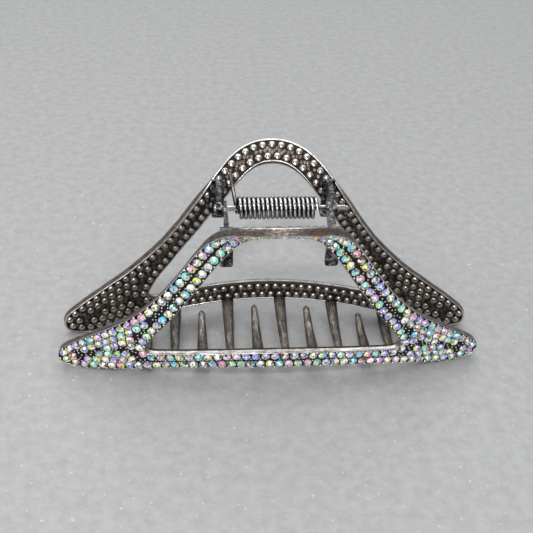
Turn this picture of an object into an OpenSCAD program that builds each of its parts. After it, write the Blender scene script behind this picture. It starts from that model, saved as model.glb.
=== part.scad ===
// Rhinestone claw hair clip: two bowed triangular jaw castings, interleaved teeth,
// four hinge brackets, a hinge pin, a torsion spring and the stones glued in their channels.
// Frame: X along the clip, front jaw at -Y, +Z up, origin under the middle of the clip.

/* [Jaw casting] */
// Width of the clip across its corner tips
clip_w = 94; // [91:0.5:97]
// Thickness of a jaw casting from lip to rim
cast_t = 1.8; // [1.6:0.1:2.2]
// Width of the rims beside the stones
rim_w = 0.3; // [0.2:0.05:0.3]
// Depth of the stone channel below the rims
channel_d = 0.5; // [0.3:0.05:0.6]
// Depth of the dished inner face below its lip
dish_d = 0.35; // [0.2:0.05:0.4]
// Half the distance between the two bars at the middle
bar_y = 11.7; // [11.4:0.1:12.6]
// Radius of the outward bow of a jaw along its width
bow_r = 90; // [85:1:120]
// Elevation of the direction in which the jaws bow out
bow_dir = 42; // [35:1:50]

/* [Stones] */
// Diameter of a stone
stone_d = 1.85; // [1.6:0.05:1.85]
// Distance between stones along a row
stone_pitch = 2.05; // [2.05:0.05:2.3]
// Distance between nested rows of stones in the corners
row_gap = 1.7; // [1.7:0.02:2]

/* [Teeth] */
// Distance between the teeth of one jaw
tooth_pitch = 12.4; // [12:0.1:13]
// Width of a tooth at its root
tooth_root_w = 2.6; // [2.2:0.1:2.6]
// Width of a tooth at its tip
tooth_tip_w = 1.1; // [0.9:0.1:1.1]

/* [Hinge] */
// Diameter of the hinge pin
pin_d = 1.2; // [1:0.1:1.4]
// Height of the hinge pin above the lower edge of the bars
pin_z = 33.8; // [33.4:0.1:34.2]
// Thickness of a hinge ear
ear_t = 1; // [0.8:0.1:1.3]
// Distance from the middle to a front hinge ear's centre
ear_x = 10.7; // [10.5:0.1:11]
// Radial clearance of the pin in the front ears
pin_clear = 0.05; // [0.03:0.01:0.08]

/* [Spring] */
// Diameter of the spring wire
wire_d = 0.85; // [0.7:0.05:0.9]
// Outer diameter of the spring coils
spring_d = 4.8; // [4.4:0.1:4.9]
// Number of coils
coils = 18; // [14:1:18]
// Length of the wound part of the spring
spring_len = 16.2; // [15.8:0.1:16.6]

/* [Hidden] */

// Flat pattern of half a jaw, from the middle of the bar round to the top of the handle:
// outer edge across and up, then window edge across and up.
k = clip_w / 94;
HALF = [[ 0.0,  0.5,   0.0,  5.3], [10.0,  0.6,   9.0,  5.3], [20.0,  0.75, 17.5,  5.3],
        [29.0,  0.8,  23.8,  5.4], [36.5,  0.9,  26.4,  5.6], [42.5,  1.6,  27.4,  6.2],
        [46.6,  3.9,  27.7,  7.0], [46.7,  7.2,  27.4,  8.0], [43.0,  9.7,  26.6,  9.4],
        [37.5, 12.3,  25.0, 11.6], [31.5, 15.3,  22.4, 14.6], [25.6, 19.8,  19.6, 18.2],
        [21.0, 25.0,  16.4, 22.3], [17.6, 29.7,  13.4, 26.5], [14.4, 33.8,  10.6, 30.2],
        [10.8, 37.8,   7.8, 33.5], [ 6.8, 41.2,   4.6, 36.2], [ 2.4, 42.9,   1.7, 37.4]];
N_HALF = len(HALF);
RING = [for (i = [0:N_HALF - 1]) HALF[i] * k,
        for (i = [N_HALF - 1:-1:1]) [-HALF[i][0], HALF[i][1], -HALF[i][2], HALF[i][3]] * k];
N_RING = len(RING);

// Elevation of the outer face's normal against the height s up the jaw
LEAN = [[-2, -4], [0, -4], [6, -4], [12, -2], [20, 9], [27, 7], [31.5, 2], [35, -29],
        [39, -55], [43, -61], [50, -61]];
STEP = 0.5;
TOP_S = 48;
steps_per_side = 4;         // points between two rows of the flat pattern
tiny_rim = 0.15;            // the bar's lower edge has almost no rim
bar_gap = 1.25;             // from an edge to the centre of its row of stones, on the bar
leg_gap = 1.4;              // and on the legs and the handle
glue = 0.12;                // glue line under a stone
stone_h = 0.95;
table_share = 0.5;          // width of a stone's flat top as a share of its diameter
TEETH = [-2, -1, 0, 1, 2];
tooth_shift = -tooth_pitch / 4;
ear_gap = 0.2;              // between a front ear and the back ear beside it
foot_w = 2.7;
foot_h = 9.3;
foot_t = 0.8;
pin_head_t = 0.5;
pin_head_d = 1.8;
pin_tail = 1.7;
leg_turn = 24;              // how far a spring leg reaches up and out, in degrees above level

// ---- the bent surface of a jaw ----
function lean(s) = lookup(s, LEAN);
function walk(s_to, s = 0, y = 0, z = 0) =
    s >= s_to ? [[s, y, z]]
              : concat([[s, y, z]], walk(s_to, s + STEP, y - STEP * sin(lean(s + STEP / 2)),
                                         z + STEP * cos(lean(s + STEP / 2))));
PROFILE = walk(TOP_S);
PROFILE_Y = [for (p = PROFILE) [p[0], p[1]]];
PROFILE_Z = [for (p = PROFILE) [p[0], p[2]]];
function bow(u) = u * u / (2 * bow_r) - 2.4 * pow(u / 45, 4);
function bow_slope(u) = u / bow_r - 9.6 * pow(u / 45, 3) / 45;
function unit(v) = v / norm(v);
// outward normal of the front jaw at a point of the flat pattern
function normal_at(p) = let (f = lean(p[1]))
    unit([bow_slope(p[0]) * cos(bow_dir - f), -cos(f), sin(f)]);
// a point of the flat pattern, n outward of the jaw's middle surface, with the bar's middle at height 0
function bend_low(p, n = 0) = let (b = bow(p[0]))
    [p[0], b * cos(bow_dir) - bar_y - lookup(p[1], PROFILE_Y),
     lookup(p[1], PROFILE_Z) - b * sin(bow_dir)] + n * normal_at(p);

// ---- smooth curve through the flat pattern ----
function ring_row(i) = RING[(i + N_RING) % N_RING];
function spline(a, b, c, d, t) =
    b + 0.5 * t * (c - a + t * (2 * a - 5 * b + 4 * c - d + t * (3 * (b - c) + d - a)));
function ring_at(i, t) = spline(ring_row(i - 1), ring_row(i), ring_row(i + 1), ring_row(i + 2), t);
EDGES = [for (i = [0:N_RING - 1]) for (j = [0:steps_per_side - 1]) ring_at(i, j / steps_per_side)];
OUTER = [for (e = EDGES) [e[0], e[1]]];
WINDOW = [for (e = EDGES) [e[2], e[3]]];

// ---- jaw casting ----
// height of the outer rim and width of the window rim, which change along the bar
function rim_height(e) = e[1] < 1.6 && abs(e[0]) < 44 ? tiny_rim : channel_d;
function row_gap_at(p) = bar_gap + (leg_gap - bar_gap) * max(0, min(1, (p[1] - 7) / 8));
// one cross-section: [distance from the outer edge, height above the middle surface]
function section(w, h_out) = let (t = cast_t / 2, f = t - channel_d, d = dish_d - t)
    [[0, -t], [0, f + h_out], [rim_w, f + h_out], [rim_w + 0.02, f],
     for (q = [0.2, 0.4, 0.6, 0.8]) [rim_w + (w - 2 * rim_w) * q, f],
     [w - rim_w - 0.02, f], [w - rim_w, t], [w, t], [w, -t], [w - rim_w, -t], [w - rim_w - 0.02, d],
     for (q = [0.8, 0.6, 0.4, 0.2]) [rim_w + (w - 2 * rim_w) * q, d],
     [rim_w + 0.02, d], [rim_w, -t]];
function section_points(i) = let (o = OUTER[i], w = norm(WINDOW[i] - o), dir = (WINDOW[i] - o) / w)
    [for (c = section(w, rim_height(EDGES[i]))) bend_low(o + dir * c[0], c[1])];
CASTING = [for (i = [0:len(EDGES) - 1]) section_points(i)];
// the corner tips touch the ground, which lifts the middle of the bar
foot_z = -min([for (ring = CASTING) for (p = ring) p[2]]);
function bend(p, n = 0) = bend_low(p, n) + [0, 0, foot_z];

// skins a list of rings, each a list of the same number of points
module skin(rings, closed = false) {
    n = len(rings);
    m = len(rings[0]);
    points = [for (r = rings) for (p = r) p];
    last = closed ? n - 1 : n - 2;
    sides = [for (i = [0:last]) for (j = [0:m - 1])
             let (a = i * m + j, b = i * m + (j + 1) % m,
                  c = ((i + 1) % n) * m + (j + 1) % m, d = ((i + 1) % n) * m + j)
             for (f = [[a, b, c], [a, c, d]]) f];
    caps = closed ? [] : [[for (j = [m - 1:-1:0]) j], [for (j = [0:m - 1]) (n - 1) * m + j]];
    polyhedron(points, concat(sides, caps), convexity = 10);
}

module jaw_casting() {
    translate([0, 0, foot_z]) skin(CASTING, closed = true);
}

// the back jaw is the same casting turned round
module turned(back) {
    rotate([0, 0, back ? 180 : 0]) children();
}

// ---- teeth ----
// a tooth runs from the bar's inner face under the hair, in a shallow arc in the YZ plane
tooth_rings = 9;
tooth_sides = 8;
tooth_sag = 1.2;
function tooth_path(x, t) = let (root = bend([x, 0.9], -cast_t / 2 + 0.25), reach = -2 * root[1] - 1.9)
    [x, root[1] + reach * t, root[2] - 4 * tooth_sag * t * (1 - t) - 0.5 * t];
function tooth_ring(x, t) = let (p = tooth_path(x, t), q = tooth_path(x, t + 0.01), d = unit(q - p),
                                 round_end = t > 0.94 ? 0.55 : 1,
                                 w = (tooth_root_w + (tooth_tip_w - tooth_root_w) * t) / 2 * round_end,
                                 h = (1.5 - 0.5 * t) / 2 * round_end)
    [for (j = [0:tooth_sides - 1]) let (a = 360 * j / tooth_sides)
     p + [w * cos(a), 0, 0] + h * sin(a) * [0, -d[2], d[1]]];

module teeth() {
    for (i = TEETH)
        skin([for (j = [0:tooth_rings - 1]) tooth_ring(tooth_shift + i * tooth_pitch, j / (tooth_rings - 1))]);
}

// ---- hinge ----
axis_z = pin_z + foot_z;
foot_y = bar_y + lookup(28, PROFILE_Y) - bow(ear_x) * cos(bow_dir) - cast_t / 2 - 0.2;
foot_top = axis_z + 1.2;

// an ear's outline in the YZ plane, with its round end about the pin
module ear_outline(reach) {
    circle(d = pin_d + 1.8, $fn = 48);
    polygon([[0, 1.5], [0, -1.5], [-1.2, -1.9], [-reach, -7], [-reach, 1.2], [-3, 1.3]]);
}

// x is the ear's centre; the bore either runs on the pin or grips it
module hinge_bracket(x, bore_d) {
    difference() {
        union() {
            translate([x - ear_t / 2, 0, axis_z])
                rotate([90, 0, 90])
                    linear_extrude(ear_t)
                        ear_outline(foot_y - foot_t / 2);
            translate([x - foot_w / 2, -foot_y, foot_top - foot_h])
                cube([foot_w, foot_t, foot_h]);
        }
        translate([x - foot_w, 0, axis_z])
            rotate([0, 90, 0])
                cylinder(d = bore_d, h = 2 * foot_w, $fn = 48);
    }
}

back_ear_x = ear_x + ear_t + ear_gap;
pin_half = back_ear_x + ear_t / 2 + 0.1;

// a headed pin, pushed in from the left, whose tail stands out on the right
module hinge_pin() {
    translate([-pin_half, 0, axis_z])
        rotate([0, 90, 0])
            cylinder(d = pin_d, h = 2 * pin_half + pin_tail, $fn = 48);
    translate([-pin_half, 0, axis_z])
        rotate([0, -90, 0])
            cylinder(d1 = pin_head_d, d2 = pin_d, h = pin_head_t, $fn = 48);
}

// ---- torsion spring ----
spring_sides = 6;
coil_steps = 14;
coil_r = (spring_d - wire_d) / 2;
// the wire's centreline: a leg to the back handle, the coils, a leg to the front handle
coil_turn = 360 * coils - 180 + 2 * leg_turn;
function coil_point(t) = let (a = leg_turn - 90 + t * coil_turn)
    [spring_len * (t - 0.5), coil_r * cos(a), axis_z + coil_r * sin(a)];
COIL = [for (i = [0:coils * coil_steps]) coil_point(i / (coils * coil_steps))];
leg_len = 10.1;
leg_drift = 1.2;
function leg_end(side, far) = let (a = leg_turn)
    [side * (spring_len / 2 + far * leg_drift), -side * (coil_r * sin(a) + far * leg_len * cos(a)),
     axis_z - coil_r * cos(a) + far * leg_len * sin(a)];
WIRE = concat([leg_end(-1, 1), leg_end(-1, 0.5), leg_end(-1, 0.15)], COIL,
              [leg_end(1, 0.15), leg_end(1, 0.5), leg_end(1, 1)]);
function wire_ring(i) = let (n = len(WIRE), a = WIRE[max(i - 1, 0)], b = WIRE[min(i + 1, n - 1)],
                             d = unit(b - a), side = unit(cross(d, [0.999, 0.02, 0.03])), up = cross(side, d))
    [for (j = [0:spring_sides - 1]) let (g = 360 * j / spring_sides)
     WIRE[i] + wire_d / 2 * (cos(g) * side + sin(g) * up)];

module torsion_spring() {
    skin([for (i = [0:len(WIRE) - 1]) wire_ring(i)]);
}

// ---- stones ----
function inward(i) = let (n = len(OUTER), d = OUTER[(i + 1) % n] - OUTER[(i + n - 1) % n]) unit([-d[1], d[0]]);
function outward(i) = let (n = len(WINDOW), d = WINDOW[(i + 1) % n] - WINDOW[(i + n - 1) % n]) unit([d[1], -d[0]]);
function gap_to(p, line) = min([for (q = line) norm(p - q)]);
// rows of points beside the edges, without the parts that fold over at a tip or corner
ROW_OUT = [for (i = [0:len(OUTER) - 1]) let (d = row_gap_at(OUTER[i]), p = OUTER[i] + inward(i) * d)
    if (gap_to(p, OUTER) > d - 0.06) p];
ROW_IN = [for (i = [0:len(WINDOW) - 1]) let (d = row_gap_at(WINDOW[i]), p = WINDOW[i] + outward(i) * d)
    if (gap_to(p, WINDOW) > d - 0.06) p];
function lengths(row, i = 0, sum = 0) = i >= len(row) - 1 ? [sum] :
    concat([sum], lengths(row, i + 1, sum + norm(bend(row[i + 1]) - bend(row[i]))));
// equally spaced points along a row, about stone_pitch apart
function spaced(row, closed, phase = 0) = let (r = closed ? concat(row, [row[0]]) : row, l = lengths(r),
                                    total = l[len(l) - 1], n = max(1, round(total / stone_pitch)),
                                    us = [for (i = [0:len(r) - 1]) [l[i], r[i][0]]],
                                    ss = [for (i = [0:len(r) - 1]) [l[i], r[i][1]]])
    [for (i = [0:closed ? n - 1 : n]) let (q = (i + phase) * total / n) [lookup(q, us), lookup(q, ss)]];
EDGE_STONES = concat(spaced(ROW_OUT, true, 0.5), spaced(ROW_IN, true));
// whether a stone at p lies on the plate and clears the stones already placed
function fits(p, placed) = gap_to(p, OUTER) > bar_gap - 0.15 && gap_to(p, WINDOW) > bar_gap - 0.15
    && min([for (q = placed) norm(bend(p) - bend(q))]) > stone_d + 0.01;
function place(row, placed, i = 0, kept = []) = i >= len(row) ? kept :
    place(row, placed, i + 1, fits(row[i], concat(placed, kept)) ? concat(kept, [row[i]]) : kept);
// how a small step v of the flat pattern lands on the bent plate
function landed(p, v) = (bend(p + 0.1 * v) - bend(p)) / 0.1;
// the flat step that lands square to d, a millimetre long
function square_to(p, d) = let (n = [-d[1], d[0]], ld = landed(p, d), m = n - (ld * landed(p, n)) / (ld * ld) * d)
    m / norm(landed(p, m));
// each row of a corner nests in the gaps of the row outside it
function nested(row) = [for (i = [0:len(row) - 2]) let (a = row[i], b = row[i + 1], mid = (a + b) / 2)
    if (norm(b - a) < 1.5 * stone_pitch) mid + square_to(mid, unit(b - a)) * row_gap];
function fill_corner(row, placed, level = 0) = level > 4 ? [] :
    let (next = place(nested(row), placed)) concat(next, fill_corner(next, concat(placed, next), level + 1));
NEAR_CORNER = [for (p = EDGE_STONES) if (p[0] > 20 * k && p[1] < 18 * k) p];
BY_RIM = [for (p = NEAR_CORNER) if (p[0] > 26 * k && gap_to(p, OUTER) < leg_gap + 0.4) p];
BY_WINDOW = [for (i = [len(NEAR_CORNER) - 1:-1:0]) if (gap_to(NEAR_CORNER[i], WINDOW) < leg_gap + 0.1) NEAR_CORNER[i]];
FROM_RIM = fill_corner(BY_RIM, NEAR_CORNER);
CORNER = concat(FROM_RIM, fill_corner(BY_WINDOW, concat(NEAR_CORNER, FROM_RIM)));
STONES = concat(EDGE_STONES, CORNER, [for (p = CORNER) [-p[0], p[1]]]);

function region(p) = abs(p[0]) > 25.5 * k && p[1] < 15.5 * k ? (p[0] > 0 ? "right_corner" : "left_corner")
    : p[1] < 8 ? "bar" : p[1] > 34 * k ? "handle" : p[0] > 0 ? "right_leg" : "left_leg";

module stone() {
    r = stone_d / 2;
    rotate_extrude($fn = 32)
        polygon([[0, 0], [r * 0.92, 0], [r, 0.3], [r, 0.45], [r * table_share, stone_h], [0, stone_h]]);
}

module stones(where) {
    for (p = STONES)
        if (region(p) == where) {
            n = normal_at(p);
            translate(bend(p, cast_t / 2 - channel_d + glue))
                rotate([0, acos(n[2]), atan2(n[1], n[0])])
                    stone();
        }
}

module front_jaw_casting() { color("dimgray") jaw_casting(); }
module back_jaw_casting() { color("dimgray") turned(true) jaw_casting(); }
module front_teeth() { color("gray") teeth(); }
module back_teeth() { color("gray") turned(true) teeth(); }
module front_left_hinge_bracket() { color("slategray") hinge_bracket(-ear_x, pin_d + 2 * pin_clear); }
module front_right_hinge_bracket() { color("slategray") hinge_bracket(ear_x, pin_d + 2 * pin_clear); }
module back_left_hinge_bracket() { color("slategray") turned(true) hinge_bracket(back_ear_x, pin_d); }
module back_right_hinge_bracket() { color("slategray") turned(true) hinge_bracket(-back_ear_x, pin_d); }
module pin() { color("silver") hinge_pin(); }
module spring() { color("silver") torsion_spring(); }
module front_stones(where) { color("lightcyan") stones(where); }
module back_stones(where) { color("lightcyan") turned(true) stones(where); }

front_jaw_casting();
back_jaw_casting();
front_teeth();
back_teeth();
front_left_hinge_bracket();
front_right_hinge_bracket();
back_left_hinge_bracket();
back_right_hinge_bracket();
pin();  // hinge_pin
spring();  // torsion_spring
front_stones("bar");  // front_bar_stones
front_stones("left_corner");  // front_left_corner_stones
front_stones("right_corner");  // front_right_corner_stones
front_stones("left_leg");  // front_left_leg_stones
front_stones("right_leg");  // front_right_leg_stones
front_stones("handle");  // front_handle_stones
back_stones("bar");  // back_bar_stones
back_stones("right_corner");  // back_left_corner_stones
back_stones("left_corner");  // back_right_corner_stones
back_stones("right_leg");  // back_left_leg_stones
back_stones("left_leg");  // back_right_leg_stones
back_stones("handle");  // back_handle_stones
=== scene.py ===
# %% [markdown]
# # A claw hair clip set with crystals
# The clip is two identical zinc castings that face each other, hinged on a pin and closed by a
# coil spring. Each casting is a bowed, open triangle whose outer face is a shallow channel full of
# small faceted stones. This lesson models one casting, turns a copy of it round for the other jaw,
# and then adds the teeth, stones, beads, hinge and spring.

import math
import random

import bmesh
import bpy
from mathutils import Matrix, Vector, geometry


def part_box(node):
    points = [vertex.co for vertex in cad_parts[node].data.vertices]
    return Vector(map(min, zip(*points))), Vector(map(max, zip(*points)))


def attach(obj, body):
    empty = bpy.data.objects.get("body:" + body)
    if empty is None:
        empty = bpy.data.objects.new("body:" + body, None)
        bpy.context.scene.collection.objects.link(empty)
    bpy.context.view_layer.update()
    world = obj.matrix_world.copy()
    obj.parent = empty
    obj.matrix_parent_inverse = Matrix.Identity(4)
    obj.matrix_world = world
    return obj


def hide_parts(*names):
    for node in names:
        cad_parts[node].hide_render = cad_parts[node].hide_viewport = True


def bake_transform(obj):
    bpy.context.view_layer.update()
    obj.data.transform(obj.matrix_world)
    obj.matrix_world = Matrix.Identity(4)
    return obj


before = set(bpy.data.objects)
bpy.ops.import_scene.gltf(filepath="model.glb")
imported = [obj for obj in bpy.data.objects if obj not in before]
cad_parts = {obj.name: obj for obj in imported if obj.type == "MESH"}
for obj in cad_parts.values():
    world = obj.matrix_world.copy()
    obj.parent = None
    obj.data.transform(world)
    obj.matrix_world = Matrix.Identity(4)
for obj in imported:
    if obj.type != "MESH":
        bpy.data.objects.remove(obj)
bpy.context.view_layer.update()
MM = 0.001

# %% [markdown]
# ## The camera
# The clip is looked at from above its front jaw, a little to the left of its middle, as an object
# held at reading distance over a table. A 57 mm lens at a hand's length gives the mild perspective
# that makes the front jaw look wider than the back one. The small roll is a hand held camera's.

# %% Camera
CAMERA_AT = Vector((-17.18, -145.87, 134.06)) * MM
LOOK_AT = Vector((-1.33, 1.97, 21.04)) * MM
CAMERA_ROLL = math.radians(3.01)
camera_data = bpy.data.cameras.new("camera")
camera_data.sensor_width = 36.0
camera_data.lens = 57.5
camera_data.clip_start = 0.005
camera = bpy.data.objects.new("camera", camera_data)
bpy.context.scene.collection.objects.link(camera)
aim = (LOOK_AT - CAMERA_AT).to_track_quat("-Z", "Y").to_matrix().to_4x4()
camera.matrix_world = Matrix.Translation(CAMERA_AT) @ aim @ Matrix.Rotation(CAMERA_ROLL, 4, "Z")
bpy.context.scene.camera = camera
print("camera is", round((LOOK_AT - CAMERA_AT).length / MM), "mm from the clip")

# %% [markdown]
# ## Small helpers
# Colours are written as the hex values a paint chart gives, so one function turns them into the
# linear numbers that the renderer works with. One more function adds a node to a material with its
# settings and links, which keeps each material short enough to read.


# %% Colour, node and object helpers
def linear(hex_colour):
    """The linear RGBA of an sRGB hex colour such as "#8A8784"."""
    parts = [int(hex_colour[i : i + 2], 16) / 255 for i in (1, 3, 5)]
    rgb = [c / 12.92 if c <= 0.04045 else ((c + 0.055) / 1.055) ** 2.4 for c in parts]
    return (*rgb, 1.0)


def node(material, kind, settings=(), **inputs):
    """Adds a node. settings are its own properties, inputs are socket values or sockets to link."""
    made = material.node_tree.nodes.new(kind)
    for name, value in dict(settings).items():
        setattr(made, name, value)
    for name, value in inputs.items():
        key = int(name[1:]) if name[0] == "_" else name.replace("_", " ")
        if isinstance(value, bpy.types.NodeSocket):
            material.node_tree.links.new(value, made.inputs[key])
        else:
            made.inputs[key].default_value = value
    return made


def ramp(material, factor, stops):
    """A colour ramp through (position, hex colour) stops."""
    made = node(material, "ShaderNodeValToRGB", Fac=factor)
    while len(made.color_ramp.elements) < len(stops):
        made.color_ramp.elements.new(0.5)
    for element, (position, hex_colour) in zip(made.color_ramp.elements, stops):
        element.position = position
        element.color = linear(hex_colour)
    return made.outputs["Color"]


def new_material(name):
    """An empty node material with its Principled shader joined to the output."""
    material = bpy.data.materials.new(name)
    material.use_nodes = True
    return material, material.node_tree.nodes["Principled BSDF"]


def link(material, source, shader, socket):
    material.node_tree.links.new(source, shader.inputs[socket])


def noise(material, place, size_mm, detail, **more):
    """Noise whose lumps are about size_mm across."""
    return node(material, "ShaderNodeTexNoise", Vector=place, Scale=1 / (size_mm * MM), Detail=detail, **more)


def spread(material, value, low, high, at_low, at_high):
    """Stretches a value from low..high to at_low..at_high."""
    stretched = node(material, "ShaderNodeMapRange", _0=value, _1=low, _2=high, _3=at_low, _4=at_high)
    return stretched.outputs[0]


def mixed(material, share, first, second_hex):
    """A colour turned towards a second one by a share."""
    made = node(material, "ShaderNodeMix", {"data_type": "RGBA"}, _0=share, _6=first, _7=linear(second_hex))
    return made.outputs[2]


def piece(name, bm, materials, body, replaces=(), smooth=True):
    """Makes the bmesh an object that rides on a body, if one is named, and stands for its CAD nodes."""
    bmesh.ops.recalc_face_normals(bm, faces=bm.faces)
    mesh = bpy.data.meshes.new(name)
    bm.to_mesh(mesh)
    bm.free()
    for polygon in mesh.polygons:
        polygon.use_smooth = smooth
    made = bpy.data.objects.new(name, mesh)
    for material in materials:
        mesh.materials.append(material)
    bpy.context.scene.collection.objects.link(made)
    if body:
        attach(made, body)
    if replaces:
        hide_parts(*replaces)
    print(name, len(mesh.polygons), "faces")
    return made


# %% [markdown]
# ## The shape of one jaw
# A maker would first draw the jaw flat, then bend it. The flat pattern is an open triangle: its
# outer edge runs along the bar, round the corner tip, up the leg and over the handle, and its
# window edge follows inside. Bending happens in two directions: a profile leans the face in and
# out with height, and a bow carries both corners round the head. Working flat and bending last
# keeps the rims, the stones and the dimples in step, because they all use the same bend.

# %% Flat pattern and bend
HALF_PATTERN = [
    (0.0, 0.5, 0.0, 5.3), (10.0, 0.6, 9.0, 5.3), (20.0, 0.75, 17.5, 5.3),
    (29.0, 0.8, 23.8, 5.4), (36.5, 0.9, 26.4, 5.6), (42.5, 1.6, 27.4, 6.2),
    (46.6, 3.9, 27.7, 7.0), (46.7, 7.2, 27.4, 8.0), (43.0, 9.7, 26.6, 9.4),
    (37.5, 12.3, 25.0, 11.6), (31.5, 15.3, 22.4, 14.6), (25.6, 19.8, 19.6, 18.2),
    (21.0, 25.0, 16.4, 22.3), (17.6, 29.7, 13.4, 26.5), (14.4, 33.8, 10.6, 30.2),
    (10.8, 37.8, 7.8, 33.5), (6.8, 41.2, 4.6, 36.2), (2.4, 42.9, 1.7, 37.4),
]
PATTERN = HALF_PATTERN + [(-a, b, -c, d) for a, b, c, d in HALF_PATTERN[:0:-1]]
LEAN = [(-2, -4), (0, -4), (6, -4), (12, -2), (20, 9), (27, 7), (31.5, 2), (35, -29),
        (39, -55), (43, -61), (50, -61)]
PROFILE_STEP = 0.5
BAR_Y = 11.7
BOW_RADIUS = 90.0
BOW_DIRECTION = math.radians(42)
HALF_THICKNESS = 0.9
CHANNEL_FLOOR = 0.4  # height of the channel's floor above the middle surface
FOOT_Z = 3.918  # the corner tips lie this far below the middle of the bar


def between(table, x):
    """Straight line lookup in a table of (x, value)."""
    for (x0, v0), (x1, v1) in zip(table, table[1:]):
        if x <= x1:
            return v0 + (v1 - v0) * (x - x0) / (x1 - x0)
    return table[-1][1]


def walk_profile():
    """Height and depth of the face against the distance s up it, by adding up small steps."""
    y = z = 0.0
    rows = [(0.0, 0.0, 0.0)]
    for i in range(int(48 / PROFILE_STEP)):
        lean = math.radians(between(LEAN, (i + 0.5) * PROFILE_STEP))
        y -= PROFILE_STEP * math.sin(lean)
        z += PROFILE_STEP * math.cos(lean)
        rows.append(((i + 1) * PROFILE_STEP, y, z))
    return rows


PROFILE = walk_profile()


def profile_at(s):
    """Depth and height of the face at s."""
    s = max(s, 0.0)
    i = min(int(s / PROFILE_STEP), len(PROFILE) - 2)
    (s0, y0, z0), (_, y1, z1) = PROFILE[i], PROFILE[i + 1]
    t = (s - s0) / PROFILE_STEP
    return y0 + (y1 - y0) * t, z0 + (z1 - z0) * t


def bow(u):
    return u * u / (2 * BOW_RADIUS) - 2.4 * (u / 45) ** 4


def normal_at(u, s):
    """Outward normal of the front jaw at a point of the flat pattern."""
    lean = math.radians(between(LEAN, s))
    slope = u / BOW_RADIUS - 9.6 * (u / 45) ** 3 / 45
    return Vector((slope * math.cos(BOW_DIRECTION - lean), -math.cos(lean), math.sin(lean))).normalized()


def bend(u, s, n=0.0):
    """Where a point of the flat pattern lands in metres, n mm outward of the middle surface."""
    y, z = profile_at(s)
    b = bow(u)
    flat = Vector((u, b * math.cos(BOW_DIRECTION) - BAR_Y - y, FOOT_Z + z - b * math.sin(BOW_DIRECTION)))
    return (flat + n * normal_at(u, s)) * MM


def pattern_at(t):
    """Outer and window edge points at a share t of the way round, on a smooth curve."""
    place = t * len(PATTERN)
    i = int(place)
    f = place - i
    a, b, c, d = (Vector(PATTERN[(i + k) % len(PATTERN)]) for k in (-1, 0, 1, 2))
    return b + 0.5 * f * (c - a + f * (2 * a - 5 * b + 4 * c - d + f * (3 * (b - c) + d - a)))


STATIONS = 8 * len(PATTERN)
print("the bar's middle stands", round(bend(0, 0.5, 0.9).z / MM, 2), "mm above the table")

# %% [markdown]
# ## The section of the casting
# Cut across, the plate is a shallow tray on its outer face and a dished pan on its inner face.
# Rounded rims stand beside both. Along the bar the lower rim almost vanishes, because there the
# stones are held by a row of beads. The section is listed once, as distances from the two edges.

# %% Section points
T = HALF_THICKNESS
F = CHANNEL_FLOOR
DISH = -0.55  # height of the inner pan's floor
# (distance from the edge, height, wear): wear is 1 where polishing reaches and 0 in the recesses
RIM_POINTS = [
    (0.58, DISH, 0.0), (0.50, DISH - 0.12, 0.2), (0.43, -T + 0.02, 0.8), (0.30, -T, 1.0),
    (0.14, -T + 0.02, 0.9), (0.04, -T + 0.12, 0.75), (0.0, -T + 0.3, 0.5), (0.0, 0.0, 0.42),
    (0.0, T - 0.3, 0.46), (0.03, T - 0.1, 0.8), (0.12, T, 1.0), (0.2, T - 0.02, 0.95),
    (0.26, T - 0.12, 0.5), (0.3, F + 0.06, 0.05), (0.36, F, 0.0),
]
WINDOW_POINTS = [
    (0.62, DISH, 0.0), (0.54, DISH - 0.12, 0.2), (0.46, -T + 0.03, 0.7), (0.38, -T, 0.9),
    (0.26, -T + 0.04, 0.7), (0.14, -T + 0.14, 0.35), (0.05, -T + 0.36, 0.3), (0.0, 0.0, 0.72),
    (0.04, T - 0.36, 0.6), (0.09, T - 0.14, 0.5), (0.16, T, 0.95), (0.21, T - 0.02, 0.9),
    (0.26, T - 0.12, 0.5), (0.3, F + 0.06, 0.05), (0.36, F, 0.0),
]
FLOOR_SHARES = (0.12, 0.3, 0.5, 0.7, 0.88)


def section(width, rim, rim_wear_and_shade):
    """Points round the section: (distance from the outer edge, height, wear)."""
    near = []
    for d, h, wear in RIM_POINTS:
        if h > F:
            h = F + (h - F) * rim
            wear *= 0.35 + 0.65 * rim
        near.append((d, h, wear))
    # on the bar, window points on the inner face lose wear as painted shade under the rim; those on its top
    # gain a little wear
    far = [(width - d, h, min(1.0, max(0.0, wear + rim_wear_and_shade * (0.3 if h > -0.25 else -3) * (d < 0.45))))
           for d, h, wear in WINDOW_POINTS[::-1]]
    channel = [(0.36 + (width - 0.72) * q, F, 0.0) for q in FLOOR_SHARES]
    pan = [(width - 0.62 - (width - 1.20) * q, DISH, 0.0) for q in FLOOR_SHARES]
    return near + channel + far + pan


SECTION_POINTS = len(section(5.0, 1.0, 0.0))


def rim_height(u, s):
    """Share of the full rim height, low along the underside of the bar."""
    along_bar = max(0.0, min(1.0, (44.5 - abs(u)) / 2.0))
    under = max(0.0, min(1.0, (2.4 - s) / 1.0))
    return 1.0 - 0.8 * along_bar * under


def window_rim_wear_and_shade(u, s):
    """How far the wear at the bar's window edge is changed: a little more on its outer rim, much less on its
    inner edge, where the lowered wear is painted shade under the rim.
    """
    return 0.2 * max(0.0, min(1.0, (27.5 - abs(u)) / 2)) * (s < 6)


# places where the plating is worn through to its copper underlayer: (u on the handle, reach, strength)
RUBBED = ((6.7, 1.3, 0.8), (-6.2, 1.0, 0.25))
print("section has", SECTION_POINTS, "points")

# %% [markdown]
# ## Sweeping the casting
# The section could be swept with a curve object, but a curve can't hold a plate whose width
# changes from 4 mm on the bar to 20 mm in the corners. A flat grid does it better: one direction
# of the grid becomes the way round the triangle, the other the way round the section, and the two
# seams are then welded. The wear is kept on each vertex for the metal's material to read.


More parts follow.
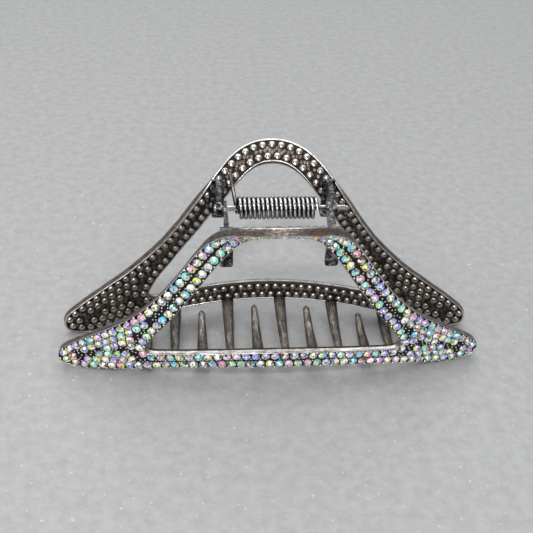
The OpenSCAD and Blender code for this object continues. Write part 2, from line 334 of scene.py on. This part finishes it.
# %% Casting mesh
def casting_bmesh(rubbed=()):
    bm = bmesh.new()
    layers = {name: bm.verts.layers.float.new(name) for name in ("wear", "along", "around", "rub")}
    bmesh.ops.create_grid(bm, x_segments=STATIONS, y_segments=SECTION_POINTS, size=0.5)
    for vert in bm.verts:
        station = round((vert.co.x + 0.5) * STATIONS)
        around = round((vert.co.y + 0.5) * SECTION_POINTS)
        ou, os_, wu, ws = pattern_at((station % STATIONS) / STATIONS)
        across = Vector((wu - ou, ws - os_))
        width = across.length
        points = section(width, rim_height(ou, os_), window_rim_wear_and_shade(wu, ws))
        d, h, wear = points[around % SECTION_POINTS]
        u, s = Vector((ou, os_)) + across * (d / width)
        vert.co = bend(u, s, h)
        vert[layers["wear"]] = wear
        vert[layers["along"]] = station
        vert[layers["around"]] = d + h
        if s > 36 and h > 0.3:
            spots = [power * math.exp(-((u - at) / reach) ** 2) for at, reach, power in rubbed]
            vert[layers["rub"]] = sum(spots)
    bmesh.ops.remove_doubles(bm, verts=bm.verts, dist=0.002 * MM)
    return bm


def turned(bm, back):
    """The back jaw is the same casting, turned half a turn about the vertical."""
    if back:
        bmesh.ops.rotate(bm, verts=bm.verts, cent=(0, 0, 0), matrix=Matrix.Rotation(math.pi, 3, "Z"))
    return bm


# %% [markdown]
# ## Antique silver
# The castings are zinc alloy plated with silver, dipped in a black sulphide patina and then
# tumbled, so that the patina stays in every recess and the edges come up bright. That gives the eye
# near black hollows, brownish grey walls and thin shining rims. The wear attribute carries this,
# and two noises break it up: a coarse one for uneven tumbling and a fine one for the cast grain.


# %% Patinated silver material
def patinated_silver(name, dark, middle, bright, grain_mm, shine=0.27):
    material, shader = new_material(name)
    place = node(material, "ShaderNodeTexCoord").outputs["Object"]
    wear, along, around, rub = (
        node(material, "ShaderNodeAttribute", {"attribute_name": key}).outputs["Fac"]
        for key in ("wear", "along", "around", "rub"))
    cloud = noise(material, place, 2.2, 4.0)
    grain = noise(material, place, grain_mm, 4.0, Roughness=0.7)
    # filing marks: noise drawn out along the edge, fine across it
    down = node(material, "ShaderNodeMath", {"operation": "MULTIPLY"}, _0=around, _1=7.0)
    marks_at = node(material, "ShaderNodeCombineXYZ", X=along, Y=down.outputs[0])
    marks = node(material, "ShaderNodeTexNoise", Vector=marks_at.outputs[0], Scale=0.55, Detail=3.0)
    total = wear
    for source, strength in ((cloud, 0.5), (grain, 0.5), (marks, 0.9)):
        centred = node(material, "ShaderNodeMath", {"operation": "MULTIPLY_ADD"}, _0=source.outputs["Fac"],
                       _1=strength, _2=-strength / 2)
        added = node(material, "ShaderNodeMath", {"operation": "ADD"}, _0=total, _1=centred.outputs[0])
        total = added.outputs[0]
    colour = ramp(material, total, [(0.0, dark), (0.2, dark), (0.5, middle), (0.95, bright)])
    ragged = node(material, "ShaderNodeMath", {"operation": "MULTIPLY_ADD"}, _0=grain.outputs["Fac"],
                  _1=1.2, _2=0.4)
    bared = node(material, "ShaderNodeMath", {"operation": "MULTIPLY", "use_clamp": True},
                 _0=ragged.outputs[0], _1=rub)
    link(material, mixed(material, bared.outputs[0], colour, "#A9683C"), shader, "Base Color")
    link(material, spread(material, total, 0.1, 0.55, 0.3, 1.0), shader, "Metallic")
    link(material, spread(material, total, 0.2, 1.0, 0.55, shine), shader, "Roughness")
    fine = node(material, "ShaderNodeBump", Strength=0.4, Distance=0.04 * MM, Height=grain.outputs["Fac"])
    filed = node(material, "ShaderNodeBump", Strength=0.3, Distance=0.05 * MM, Height=marks.outputs["Fac"],
                 Normal=fine.outputs["Normal"])
    link(material, filed.outputs["Normal"], shader, "Normal")
    return material


SILVER = patinated_silver("antique silver plated zinc, tumbled", "#14100D", "#7A716A", "#E2DFDA", 0.45)

for side in ("front", "back"):
    bm = casting_bmesh(RUBBED if side == "front" else ())
    piece(f"{side}_jaw_plate", turned(bm, side == "back"), [SILVER], f"{side}_jaw",
          [f"{side}_jaw_casting"])

# %% [markdown]
# ## Where the stones sit
# The stones follow the edges in rows, one pitch of about two millimetres apart. One row runs just
# inside the whole outer edge and one just inside the window edge. The corners are wider, so they
# take more rows. Each row is stepped along by its real length, so that bending it doesn't crowd it.

# %% Rows of stones
PITCH = 2.05
STONE_D = 1.85
NEST_GAP = 1.7
BAR_GAP = 1.25
LEG_GAP = 1.4
ROW_STEPS = 4 * len(PATTERN)
EDGE_CURVE = [pattern_at(i / ROW_STEPS) for i in range(ROW_STEPS)]
OUTER_EDGE = [Vector((e[0], e[1])) for e in EDGE_CURVE]
WINDOW_EDGE = [Vector((e[2], e[3])) for e in EDGE_CURVE]


def edge_to_row(p):
    """Distance from an edge to the middle of its row: tighter on the bar than on the legs."""
    return BAR_GAP + (LEG_GAP - BAR_GAP) * max(0.0, min(1.0, (p.y - 7) / 8))


def distance_to(p, line):
    return min((q - p).length for q in line)


def row_beside(line, inward):
    """A row beside an edge, without the parts that would fold over at a tip."""
    made = []
    for i, p in enumerate(line):
        along = (line[(i + 1) % len(line)] - line[i - 1]).normalized()
        q = p + Vector((-along.y, along.x)) * (inward * edge_to_row(p))
        if distance_to(q, line) > edge_to_row(p) - 0.06:
            made.append(q)
    return made


def spaced(row, phase=0.0):
    """Points at equal real distances round a closed row."""
    row = row + row[:1]
    reach = [0.0]
    for p, q in zip(row, row[1:]):
        reach.append(reach[-1] + (bend(*q) - bend(*p)).length / MM)
    tables = [list(zip(reach, [p[k] for p in row])) for k in (0, 1)]
    count = round(reach[-1] / PITCH)
    places = [(i + phase) * reach[-1] / count for i in range(count)]
    return [Vector([between(table, at) for table in tables]) for at in places]


RIM_ROW = spaced(row_beside(OUTER_EDGE, 1), 0.5)
WINDOW_ROW = spaced(row_beside(WINDOW_EDGE, -1))


def landed(p, step):
    """How a small step on the flat pattern lands on the bent plate."""
    return (bend(*(p + step * 0.1)) - bend(*p)) / (0.1 * MM)


def square_to(p, along):
    """The flat step that lands square to another one, a millimetre long."""
    across = Vector((-along.y, along.x))
    there = landed(p, along)
    step = across - along * (there.dot(landed(p, across)) / there.dot(there))
    return step / landed(p, step).length


def nested(row):
    """A row that nests in the gaps of another, on its left."""
    pairs = [(a, b) for a, b in zip(row, row[1:]) if (b - a).length < 1.5 * PITCH]
    return [(a + b) / 2 + square_to((a + b) / 2, (b - a).normalized()) * NEST_GAP for a, b in pairs]


def fill_corner(row, placed):
    """Nests row after row, leaving out the stones that would touch others or hang over an edge."""
    added = []
    for _ in range(5):
        kept = []
        for p in nested(row):
            others = placed + added + kept
            on_plate = min(distance_to(p, OUTER_EDGE), distance_to(p, WINDOW_EDGE)) > BAR_GAP - 0.15
            if on_plate and min((bend(*p) - bend(*q)).length for q in others) > (STONE_D + 0.01) * MM:
                kept.append(p)
        added += kept
        row = kept
    return added


near_corner = [p for p in RIM_ROW + WINDOW_ROW if p.x > 20 and p.y < 18]
by_rim = [p for p in near_corner if p.x > 26 and distance_to(p, OUTER_EDGE) < LEG_GAP + 0.4]
by_window = [p for p in near_corner if distance_to(p, WINDOW_EDGE) < LEG_GAP + 0.1][::-1]
corner = fill_corner(by_rim, near_corner)
corner += fill_corner(by_window, near_corner + corner)
STONES = RIM_ROW + WINDOW_ROW + corner + [Vector((-p.x, p.y)) for p in corner]


def region(p):
    """The area of the jaw that a stone belongs to."""
    if abs(p.x) > 25.5 and p.y < 15.5:
        return "right_corner" if p.x > 0 else "left_corner"
    if p.y < 8:
        return "bar"
    if p.y > 34:
        return "handle"
    return "right_leg" if p.x > 0 else "left_leg"


print(len(STONES), "stones on each jaw")

# %% [markdown]
# ## Cutting a stone
# The stones are round crystals with a flat top, or table. A cutter grinds one facet at a time, and
# so does this cell: it starts from a short drum and slices it with tilted planes, eight for the
# main facets and eight shallow ones between them. Slicing keeps every facet truly flat, which is
# what makes each one flash in one piece. The table is then split like a pie, because through it the
# eye sees the foil backed facets underneath.

# %% Stone template
STONE_R = STONE_D / 2
STONE_TOP = 0.86
GIRDLE = 0.34


def slice_facet(bm, point, normal):
    """Cuts away what lies outside a plane and closes the cut with one face."""
    cut = bmesh.ops.bisect_plane(bm, geom=bm.verts[:] + bm.edges[:] + bm.faces[:], dist=1e-5,
                                 plane_co=point, plane_no=normal, clear_outer=True)
    edges = [g for g in cut["geom_cut"] if isinstance(g, bmesh.types.BMEdge)]
    if edges:
        bmesh.ops.edgeloop_fill(bm, edges=edges)


def stone_mesh():
    bm = bmesh.new()
    bmesh.ops.create_cone(bm, cap_ends=True, segments=16, radius1=STONE_R, radius2=STONE_R, depth=STONE_TOP,
                          matrix=Matrix.Translation((0, 0, STONE_TOP / 2)))
    for ring_angle, tilt, reach in ((0.0, 40, STONE_R * 0.985), (22.5, 24, STONE_R * 0.80)):
        for i in range(8):
            turn = math.radians(ring_angle + 45 * i)
            slope = math.radians(tilt)
            flat = math.sin(slope)
            normal = Vector((math.cos(turn) * flat, math.sin(turn) * flat, math.cos(slope)))
            height = GIRDLE if ring_angle == 0.0 else GIRDLE + 0.235
            slice_facet(bm, Vector((math.cos(turn) * reach, math.sin(turn) * reach, height)), normal)
    table = max(bm.faces, key=lambda f: f.calc_center_median().z)
    bmesh.ops.poke(bm, faces=[table])
    mesh = bpy.data.meshes.new("stone_template")
    bm.to_mesh(mesh)
    bm.free()
    return mesh


STONE = stone_mesh()
print("a stone has", len(STONE.polygons), "facets")

# %% [markdown]
# ## The crystals' coating
# The stones are clear lead free glass with a mirror behind and a vacuum deposited coating a few
# hundred nanometres thick, which splits white light: each facet shows a pale colour that changes with
# the angle of light and view, from yellow green through aqua and violet to pink. Tracing real glass
# over a mirror would lose this in an exported model, so each facet carries its colour as an attribute,
# under a clear glossy coat: these colours are painted reflections for this light, with painted white
# glints and dark reflections among them.

# %% Facet colours and crystal material
# (colour, how often it is picked): painted reflections. The coating's colour goes with the angle at
# which light leaves, so for this light most stones are painted yellow green in the middle and below,
# with blue, violet or pink touches above; the girdle colours paint the grey and dark reflections of the
# outer facets, and the glints are painted white highlights and dark reflections
MAIN = [("#E4E962", 7), ("#F3F0A6", 4), ("#BFE566", 4), ("#F9CB66", 2), ("#D2D8D8", 3), ("#9BE2D0", 2)]
ACCENT = [("#6CCBEE", 3), ("#86E2D0", 3), ("#9A96F2", 4), ("#CB9CF0", 2), ("#F29CC2", 2), ("#F4F4F0", 3)]
GIRDLE_REFLECTIONS = [("#DCDEDC", 5), ("#9C9EA0", 4), ("#626266", 3)]
GLINTS_AND_DARK_REFLECTIONS = [("#FFFFFF", 5), ("#4A474A", 3), ("#85828A", 3)]
dice = random.Random(7)


def pick(choices):
    names, weights = zip(*choices)
    return dice.choices(names, weights)[0]


def stone_colours():
    """A function that paints a stone's facets with the coating's reflected colours, glints and dark
    reflections, by where they lie on it and the way they face.
    """
    main, accent = pick(MAIN), pick(ACCENT)
    twist = dice.gauss(0, 0.7)
    spread = dice.uniform(0.35, 1.0)

    def colour(angle, out):
        # a painted glint: a white highlight or a dark reflection on this facet
        if dice.random() < 0.14:
            return linear(pick(GLINTS_AND_DARK_REFLECTIONS))
        if math.sin(angle + twist) > spread and dice.random() < 0.8:
            return linear(accent)
        if out > 0.75 and dice.random() < 0.7:
            return linear(pick(GIRDLE_REFLECTIONS))
        return linear(main)

    return colour


def stones_bmesh(points):
    bm = bmesh.new()
    colour = bm.loops.layers.float_color.new("facet")
    for p in points:
        before = len(bm.verts)
        faces_before = len(bm.faces)
        bm.from_mesh(STONE)
        bm.verts.ensure_lookup_table()
        bm.faces.ensure_lookup_table()
        normal = normal_at(*p)
        base = bend(p.x, p.y, CHANNEL_FLOOR + 0.14 + dice.uniform(-0.03, 0.03))
        tilt = Matrix.Rotation(dice.gauss(0, 0.05), 3, "X") @ Matrix.Rotation(dice.gauss(0, 0.05), 3, "Y")
        spin = Matrix.Rotation(dice.uniform(0, math.tau), 3, "Z")
        stand = normal.to_track_quat("Z", "Y").to_matrix() @ tilt @ spin
        size = MM * dice.uniform(0.95, 0.99)
        colour_of = stone_colours()
        for vert in bm.verts[before:]:
            vert.co = base + stand @ (vert.co * size)
        for face in bm.faces[faces_before:]:
            middle = face.calc_center_median() - base
            reflected_colour = colour_of(math.atan2(middle.z, middle.x), middle.length / (STONE_R * MM))
            for loop in face.loops:
                loop[colour] = reflected_colour
    return bm


def crystal_material():
    # Glass IOR 1.55; the coat gives the sharp window-like glint, the metallic share stands for the foil.
    material, shader = new_material("coated crystal, foil backed")
    facet = node(material, "ShaderNodeAttribute", {"attribute_name": "facet"}).outputs["Color"]
    place = node(material, "ShaderNodeTexCoord").outputs["Object"]
    cloud = noise(material, place, 0.9, 1.0).outputs["Fac"]
    shade = spread(material, cloud, 0.3, 0.7, 0.85, 1.2)
    lit = node(material, "ShaderNodeVectorMath", {"operation": "SCALE"}, _0=facet, Scale=shade)
    # the base colour carries the facets' painted reflections and glints
    link(material, lit.outputs[0], shader, "Base Color")
    shader.inputs["Metallic"].default_value = 0.2
    shader.inputs["Roughness"].default_value = 0.12
    shader.inputs["IOR"].default_value = 1.55
    shader.inputs["Coat Weight"].default_value = 0.8
    shader.inputs["Coat Roughness"].default_value = 0.03
    shader.inputs["Coat IOR"].default_value = 1.6
    return material


CRYSTAL = crystal_material()
MIRRORED = {"left_corner": "right_corner", "right_corner": "left_corner",
            "left_leg": "right_leg", "right_leg": "left_leg"}
for side in ("front", "back"):
    for area in ("bar", "left_corner", "right_corner", "left_leg", "right_leg", "handle"):
        own = MIRRORED.get(area, area) if side == "back" else area
        bm = turned(stones_bmesh([p for p in STONES if region(p) == own]), side == "back")
        piece(f"{side}_{area}_crystals", bm, [CRYSTAL], f"{side}_jaw",
              [f"{side}_{area}_stones"], smooth=False)

# %% [markdown]
# ## Beads between the stones
# Tiny cast beads fill the gaps and grip the stones' edges. They sit where three stones meet, and
# along both edges between each pair. A Delaunay net over the stones finds the places where three
# meet, which is quicker and more even than placing beads by hand.

# %% Beads
BEAD_R = 0.24
EDGE_BEAD_R = 0.3
BEAD_SPACING = 0.62


def three_way_gaps():
    """Middles of the triangles between neighbouring stones, and of the sides that cross a wider gap."""
    points = [Vector(p) for p in STONES]
    _, _, faces, *_ = geometry.delaunay_2d_cdt(points, [], [], 0, 1e-6)
    made = []
    for face in faces:
        a, b, c = (points[i] for i in face)
        sides = [(a, b), (b, c), (c, a)]
        if max((p - q).length for p, q in sides) > 2.3 * PITCH:
            continue
        across = [(p + q) / 2 for p, q in sides if (p - q).length > 1.25 * PITCH]
        for place in [(a + b + c) / 3] + across:
            clear = min((place - q).length for q in points) > STONE_R + 0.1
            apart = all((place - q).length > BEAD_SPACING for q in made)
            if clear and apart and dice.random() < 0.85:  # some left out, so they don't look ruled
                made.append(place)
    return made


def edge_gaps(row, line):
    """Middles between neighbours in a row, moved out towards the edge beside it."""
    made = []
    for p, q in zip(row, row[1:] + row[:1]):
        if (p - q).length > 1.4 * PITCH:
            continue
        middle = (p + q) / 2
        near = min(line, key=lambda e: (e - middle).length)
        out = (near - middle)
        step = max(0.0, out.length - 0.42)
        made.append(middle + out.normalized() * step)
    return made


INNER_BEADS = three_way_gaps()
EDGE_BEADS = edge_gaps(RIM_ROW, OUTER_EDGE) + edge_gaps(WINDOW_ROW, WINDOW_EDGE)


def ball_bmesh(points, radius, height, squash, wear_low, wear_high, segments=8, rings=5):
    """Small balls let into the surface, worn bright on top and dark below."""
    template = bmesh.new()
    bmesh.ops.create_uvsphere(template, u_segments=segments, v_segments=rings, radius=1.0)
    low = [v for v in template.verts if v.co.z < -0.35]
    bmesh.ops.delete(template, geom=low, context="VERTS")
    bmesh.ops.holes_fill(template, edges=template.edges)
    ball = bpy.data.meshes.new("ball_template")
    template.to_mesh(ball)
    template.free()
    bm = bmesh.new()
    wear_layer = bm.verts.layers.float.new("wear")
    for p in points:
        before = len(bm.verts)
        bm.from_mesh(ball)
        bm.verts.ensure_lookup_table()
        outward = normal_at(*p) * (1 if height > 0 else -1)
        base = bend(p.x, p.y, height)
        stand = outward.to_track_quat("Z", "Y").to_matrix()
        for vert in bm.verts[before:]:
            vert[wear_layer] = wear_low + (wear_high - wear_low) * max(0.0, vert.co.z)
            vert.co = base + stand @ Vector((vert.co.x * radius, vert.co.y * radius, vert.co.z * squash)) * MM
    bpy.data.meshes.remove(ball)
    return bm


for side in ("front", "back"):
    bm = turned(ball_bmesh(INNER_BEADS, BEAD_R, F + 0.28, 0.28, 0.1, 1.1, 8, 6), side == "back")
    piece(f"{side}_jaw_beads", bm, [SILVER], f"{side}_jaw")
    bm = turned(ball_bmesh(EDGE_BEADS, EDGE_BEAD_R, F + 0.36, 0.36, 0.3, 1.2, 8, 6), side == "back")
    piece(f"{side}_jaw_edge_beads", bm, [SILVER], f"{side}_jaw")
print(len(INNER_BEADS) + len(EDGE_BEADS), "beads on each jaw")

# %% [markdown]
# ## Dimples of the inner face
# Inside, the casting shows a dome behind each stone, where the mould pushes the seats through. The
# domes are worn bright on top and the pan between them keeps its black patina. They are half balls
# at the stones' own places, so they line up with the outside as the real ones do.
# Lower, duller swellings between them stand for the webs of metal that run from dome to dome.

# %% Inner domes
DOME_SILVER = patinated_silver("antique silver plated zinc, domes rubbed bright",
                               "#15100C", "#51473F", "#C4BEB7", 0.35, 0.16)
DOME_R = 0.98
WEB_R = 0.74
for side in ("front", "back"):
    bm = turned(ball_bmesh(STONES, DOME_R, DISH + 0.12, 0.62, -0.1, 1.1, 12, 8), side == "back")
    piece(f"{side}_jaw_domes", bm, [DOME_SILVER], f"{side}_jaw")
    bm = turned(ball_bmesh(INNER_BEADS, WEB_R, DISH + 0.08, 0.3, 0.0, 0.6, 9, 6), side == "back")
    piece(f"{side}_jaw_webs", bm, [DOME_SILVER], f"{side}_jaw")

# %% [markdown]
# ## Teeth
# Each jaw has five curved teeth that reach under the hair to the other bar. A tooth is a tapered
# rod, so it is drawn out as a smith would: a small ring is extruded along an arc and reduced at
# each step, and closed with a rounded tip. The roots are sunk a little into the bar.

# %% Tooth mesh
TOOTH_PITCH = 12.4
TOOTH_ROOT_W = 2.85
TOOTH_TIP_W = 1.5
TOOTH_SAG = 1.2
TOOTH_STEPS = 20


def tooth_point(x, t):
    root = bend(x, 0.9, -HALF_THICKNESS + 0.25) / MM
    reach = -2 * root.y - 1.9
    return Vector((x, root.y + reach * t, root.z - 4 * TOOTH_SAG * t * (1 - t) - 0.5 * t))


def teeth_bmesh():
    bm = bmesh.new()
    layers = {name: bm.verts.layers.float.new(name) for name in ("wear", "along", "around")}
    for k in (-2, -1, 0, 1, 2):
        x = (k - 0.25) * TOOTH_PITCH
        ring = None
        for j in range(TOOTH_STEPS + 1):
            t = j / TOOTH_STEPS
            p = tooth_point(x, t)
            along = (tooth_point(x, t + 0.01) - p).normalized()
            close = math.sqrt(max(0.0, 1 - max(0.0, (t - 0.96) / 0.04) ** 2)) * 0.93 + 0.07
            wide = (TOOTH_ROOT_W + (TOOTH_TIP_W - TOOTH_ROOT_W) * t) / 2 * close
            thick = (1.5 - 0.5 * t) / 2 * close
            axes = (Vector((wide, 0, 0)), Vector((0, -along.z, along.y)) * thick, along)
            stand = Matrix(axes).transposed()
            made = bmesh.ops.create_circle(bm, cap_ends=j in (0, TOOTH_STEPS), segments=14, radius=1.0)
            verts = made["verts"]
            for vert in verts:
                vert[layers["along"]] = 0.5 * j + 40 * k
                vert[layers["around"]] = 1.2 * vert.co.x + 0.9 * vert.co.y
                vert.co = (p + stand @ vert.co) * MM
                vert[layers["wear"]] = 0.36 + 0.26 * t
            edges = list({e for v in verts for e in v.link_edges})
            if ring:
                bmesh.ops.bridge_loops(bm, edges=ring + edges)
            ring = edges
    return bm


TEETH_SILVER = patinated_silver("antique silver plated zinc, as cast",
                                "#191614", "#625C56", "#C9C4BE", 0.6, 0.34)
for side in ("front", "back"):
    bm = turned(teeth_bmesh(), side == "back")
    piece(f"{side}_jaw_teeth", bm, [TEETH_SILVER], f"{side}_jaw", [f"{side}_teeth"])

# %% [markdown]
# ## Hinge brackets and pin
# Four stamped steel brackets are soldered inside the legs. Their ears carry the pin: the back pair
# grips it and the front pair turns on it. Their shape with its bore is already exact, so a copy of
# each is welded together and its sharp stamped edges are broken with a small bevel.

# %% Brackets and pin from their exact shapes
PIN_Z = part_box("hinge_pin")[0][2] * 0.5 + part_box("hinge_pin")[1][2] * 0.5


def eased_copy(name, bevel_mm, corner_mm=0.0, slim=0.0):
    """A merged copy of a node with its sharp edges rounded and its ear slimmed towards the pin."""
    bm = bmesh.new()
    bm.from_mesh(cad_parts[name].data)
    bmesh.ops.remove_doubles(bm, verts=bm.verts, dist=0.001 * MM)
    bmesh.ops.dissolve_limit(bm, angle_limit=math.radians(1), verts=bm.verts, edges=bm.edges)
    if corner_mm:
        low = min(v.co.z for v in bm.verts)
        ends = [e for e in bm.edges if all(abs(v.co.z - low) < 1e-6 for v in e.verts)
                and abs((e.verts[0].co - e.verts[1].co).normalized().y) > 0.99]
        bmesh.ops.bevel(bm, geom=ends, offset=corner_mm * MM, offset_type="OFFSET", segments=4, profile=0.5,
                        affect="EDGES", material=-1)
    foot = max(abs(v.co.y) for v in bm.verts) - 0.85 * MM
    ear = [v for v in bm.verts if slim and abs(v.co.y) < foot]
    middle = (min((v.co.x for v in ear), default=0) + max((v.co.x for v in ear), default=0)) / 2
    for vert in ear:
        away = math.hypot(vert.co.y, vert.co.z - PIN_Z) / MM
        vert.co.x = middle + (vert.co.x - middle) * (1 - slim * max(0.0, 1 - away / 7.5))
    for face in bm.faces:
        face.material_index = int(bool(slim) and abs(face.calc_center_median().y) < foot)
    sharp = [e for e in bm.edges if len(e.link_faces) == 2 and e.calc_face_angle(0) > math.radians(40)]
    bmesh.ops.bevel(bm, geom=sharp, offset=bevel_mm * MM, offset_type="OFFSET", segments=2, profile=0.5,
                    affect="EDGES", clamp_overlap=True, material=-1)
    return bm


def plated_steel(name, dark, middle, bright, roughness, mottle_mm):
    """Dull plated steel with handling marks; a vertex's gap value darkens it, painting the shade between the
    coils.
    """
    material, shader = new_material(name)
    place = node(material, "ShaderNodeTexCoord").outputs["Object"]
    mottle = noise(material, place, mottle_mm, 5.0, Roughness=0.65).outputs["Fac"]
    colour = ramp(material, mottle, [(0.34, dark), (0.5, middle), (0.72, bright)])
    gap = node(material, "ShaderNodeAttribute", {"attribute_name": "gap"}).outputs["Fac"]
    # gap turns the colour towards near black: painted shade between the spring's coils
    link(material, mixed(material, gap, colour, "#0B0A0A"), shader, "Base Color")
    shader.inputs["Metallic"].default_value = 1.0
    link(material, spread(material, mottle, 0.3, 0.7, roughness + 0.15, roughness), shader, "Roughness")
    bump = node(material, "ShaderNodeBump", Strength=0.3, Distance=0.05 * MM, Height=mottle)
    link(material, bump.outputs["Normal"], shader, "Normal")
    return material


BRACKET_STEEL = plated_steel("sheet steel, blackened in the patina bath",
                             "#121113", "#3C393B", "#B4B2B2", 0.26, 0.8)
EAR_STEEL = plated_steel("sheet steel, plated and handled", "#29282B", "#55555A", "#BEBEC1", 0.3, 1.2)
WIRE_STEEL = plated_steel("spring steel wire, drawn and nickel plated",
                          "#8B8884", "#C4C2BE", "#E4E3E0", 0.16, 0.8)

for side in ("front", "back"):
    for hand in ("left", "right"):
        name = f"{side}_{hand}_hinge_bracket"
        bm = eased_copy(name, 0.1, 0.55, slim=0.5 if side == "front" else 0.0)
        piece(f"{side}_{hand}_bracket", bm, [BRACKET_STEEL, EAR_STEEL], f"{side}_jaw",
              [name], smooth=False)
piece("pin", eased_copy("hinge_pin", 0.12), [WIRE_STEEL], "back_jaw", ["hinge_pin"])

# %% [markdown]
# ## The torsion spring
# The spring is one wire wound round the pin, with a straight leg at each end that pushes on a
# handle. Spin with a step along its axis is a screw, which is just how the wire is wound. The legs
# are the end rings drawn out along the wire's own direction. In use the coils share the twist; the
# piece is not attached to either jaw.

# %% Spring mesh
WIRE_R = 0.425
COIL_R = 1.975
SPRING_LEN = 16.2
LEG_TURN = math.radians(24)
COIL_TURNS = 18 - 0.5 + 2 * 24 / 360
COIL_STEPS = 28
LEG_LEN = 10.1
LEG_DRIFT = 1.2


def spring_bmesh():
    bm = bmesh.new()
    start_angle = LEG_TURN - math.pi / 2
    axis_point = Vector((0, 0, PIN_Z))
    ring = bmesh.ops.create_circle(bm, cap_ends=False, segments=10, radius=WIRE_R * MM)["verts"]
    tangent = Vector((0, -math.sin(start_angle), math.cos(start_angle)))
    start = (-SPRING_LEN / 2, COIL_R * math.cos(start_angle), COIL_R * math.sin(start_angle))
    at = axis_point + Vector(start) * MM
    stand = tangent.to_track_quat("Z", "X").to_matrix()
    for vert in ring:
        vert.co = at + stand @ vert.co
    first = list({e for v in ring for e in v.link_edges})
    steps = round(COIL_TURNS * COIL_STEPS)
    bmesh.ops.spin(bm, geom=ring + first, cent=axis_point, axis=(1, 0, 0),
                   dvec=(SPRING_LEN / steps * MM, 0, 0), angle=COIL_TURNS * math.tau, steps=steps,
                   use_merge=False)
    loops = [e for e in bm.edges if e.is_boundary]
    for side in (-1, 1):
        end = [e for e in loops if side * e.verts[0].co.x > 0]
        leg = Vector((side * LEG_DRIFT, -side * LEG_LEN * math.cos(LEG_TURN), LEG_LEN * math.sin(LEG_TURN)))
        for part in (0.12, 0.88):
            move = leg * part * MM
            grown = bmesh.ops.extrude_edge_only(bm, edges=end)["geom"]
            bmesh.ops.translate(bm, verts=[g for g in grown if isinstance(g, bmesh.types.BMVert)], vec=move)
            end = [g for g in grown if isinstance(g, bmesh.types.BMEdge) and g.is_boundary]
        bmesh.ops.edgeloop_fill(bm, edges=end)
    # gap is painted shade on the wire's inner side, where the coils shade each other and the pin
    gap = bm.verts.layers.float.new("gap")
    for vert in bm.verts:
        out = math.hypot(vert.co.y, vert.co.z - PIN_Z) / MM - COIL_R
        vert[gap] = max(0.0, min(1.0, 2.3 - 2.4 * out / WIRE_R))
    return bm


spring = piece("coil_spring", spring_bmesh(), [WIRE_STEEL], None, ["torsion_spring"])
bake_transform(spring)

# %% [markdown]
# ## The table and the light
# The clip stands on a sheet of pale grey packing foam. Foam has a soft, slightly mottled skin with
# flecks a millimetre or two across, so its colour and its bump both come from noise at that scale.
# The light is a large soft panel overhead, behind the clip, and a wide one low in front that fills
# the shadows. A small lamp gives the sharp glints, and one at the side rims the left edge.


# %% Floor
def foam_material():
    material, shader = new_material("pale polyethylene foam sheet")
    place = node(material, "ShaderNodeTexCoord").outputs["Object"]
    skin = noise(material, place, 2.5, 4.0, Roughness=0.6).outputs["Fac"]
    fleck = noise(material, place, 1.1, 2.0, Roughness=0.5).outputs["Fac"]
    colour = ramp(material, skin, [(0.3, "#999999"), (0.5, "#A0A0A0"), (0.75, "#A9A9A8")])
    spots = spread(material, fleck, 0.66, 0.78, 0.0, 0.7)
    link(material, mixed(material, spots, colour, "#D6D6D6"), shader, "Base Color")
    shader.inputs["Roughness"].default_value = 0.7
    bump = node(material, "ShaderNodeBump", Strength=0.25, Distance=0.2 * MM, Height=skin)
    link(material, bump.outputs["Normal"], shader, "Normal")
    return material


floor_mesh = bpy.data.meshes.new("floor")
bm = bmesh.new()
bmesh.ops.create_grid(bm, x_segments=1, y_segments=1, size=2.0)
bm.to_mesh(floor_mesh)
bm.free()
floor_mesh.materials.append(foam_material())
floor = bpy.data.objects.new("floor", floor_mesh)
bpy.context.scene.collection.objects.link(floor)

# %% Lights
world = bpy.data.worlds.new("room")
world.use_nodes = True
background = world.node_tree.nodes["Background"]
direction = node(world, "ShaderNodeTexCoord").outputs["Generated"]
height = node(world, "ShaderNodeSeparateXYZ", Vector=direction).outputs["Z"]
walls = ramp(world, height, [(0.0, "#7C7C7D"), (0.3, "#969798"), (0.6, "#A6A8AB"), (0.9, "#A8AAAD")])
world.node_tree.links.new(walls, background.inputs["Color"])
background.inputs["Strength"].default_value = 1.15
bpy.context.scene.world = world
bpy.context.scene.view_settings.view_transform = "Standard"


def panel(name, at_mm, size_mm, watts, glint=1.0):
    """A soft square light aimed at the clip; glint is the share of it that shows as highlights."""
    data = bpy.data.lights.new(name, "AREA")
    data.size = size_mm * MM
    data.energy = watts
    data.specular_factor = glint
    lamp = bpy.data.objects.new(name, data)
    at = Vector(at_mm) * MM
    lamp.matrix_world = Matrix.Translation(at) @ (LOOK_AT - at).to_track_quat("-Z", "Y").to_matrix().to_4x4()
    bpy.context.scene.collection.objects.link(lamp)


panel("ceiling", (0, 330, 730), 900, 4.9, 0.5)
panel("lamp", (-60, -230, 360), 40, 0.55)
panel("front", (-60, -620, 260), 420, 2.0, 0.6)
panel("side", (-420, -60, 300), 200, 0.4)
